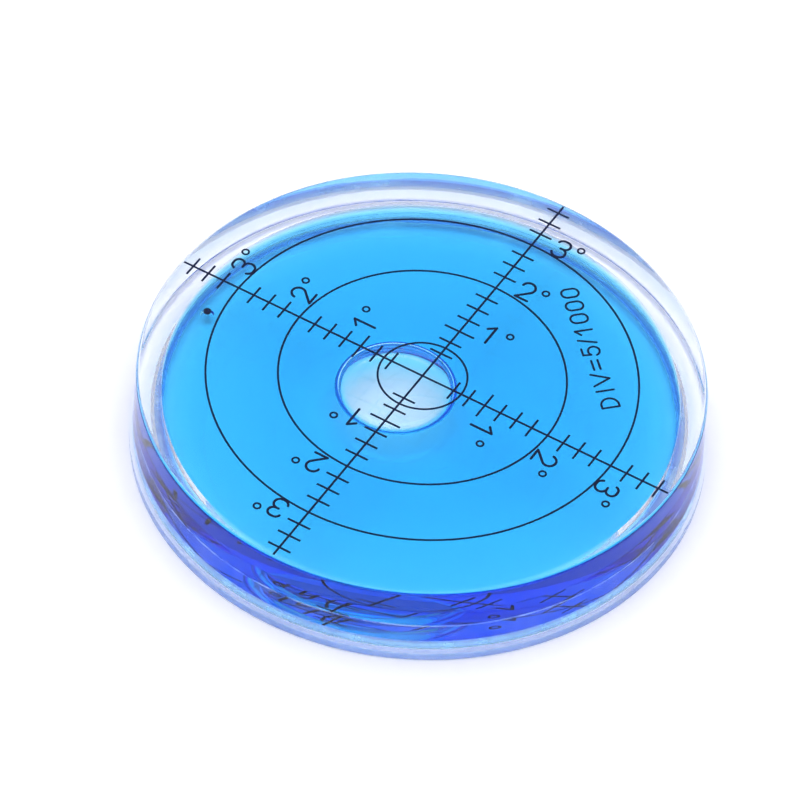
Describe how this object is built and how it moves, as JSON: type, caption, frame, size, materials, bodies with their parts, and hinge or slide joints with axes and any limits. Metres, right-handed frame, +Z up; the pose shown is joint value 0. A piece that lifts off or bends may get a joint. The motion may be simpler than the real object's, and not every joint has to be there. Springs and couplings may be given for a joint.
{
  "type": "circular spirit level",
  "caption": "Round clear acrylic spirit level with a blue fill, a free bubble, and a top dial of cross lines, circles and degree numerals.",
  "frame": {"origin": "centre of the underside, on the vial's axis", "axes": "+Z up along the vial's axis; the dial's cross lines lie along X and Y"},
  "size_m": [0.0612, 0.0612, 0.0099],
  "materials": {
    "window_acrylic": "polished",
    "base_acrylic": "polished",
    "cement": "satin",
    "blue_spirit": "polished",
    "air": "polished",
    "plug_rubber": "satin",
    "clear_resin": "gloss",
    "ink": "satin"
  },
  "bodies": {
    "vial": {"window_shell": "window_acrylic", "base_plate": "base_acrylic", "weld_bead": "cement", "fill_plug": "plug_rubber", "plug_sealant": "clear_resin", "cross_lines": "ink", "centre_circle": "ink", "two_degree_ring": "ink", "three_degree_ring": "ink", "quarter_degree_ticks": "ink", "one_degree_ticks": "ink", "one_numerals": "ink", "two_numerals": "ink", "three_numerals": "ink", "degree_signs": "ink", "division_legend": "ink"},
    "fill": {"spirit_fill": "blue_spirit"},
    "bubble": {"air_bubble": "air"}
  },
  "joints": [
    {"name": "fill_swirl", "type": "hinge", "parent": "vial", "child": "fill", "pos_m": [0, 0, 0.0045], "axis": [0, 0, 1], "continuous": true},
    {"name": "bubble_travel", "type": "hinge", "parent": "fill", "child": "bubble", "pos_m": [0, 0, -0.42824], "axis": [0.3173, -0.9483, 0], "range_deg": [-0.36, 2.38], "stiffness_Nm_per_rad": 0.02}
  ]
}
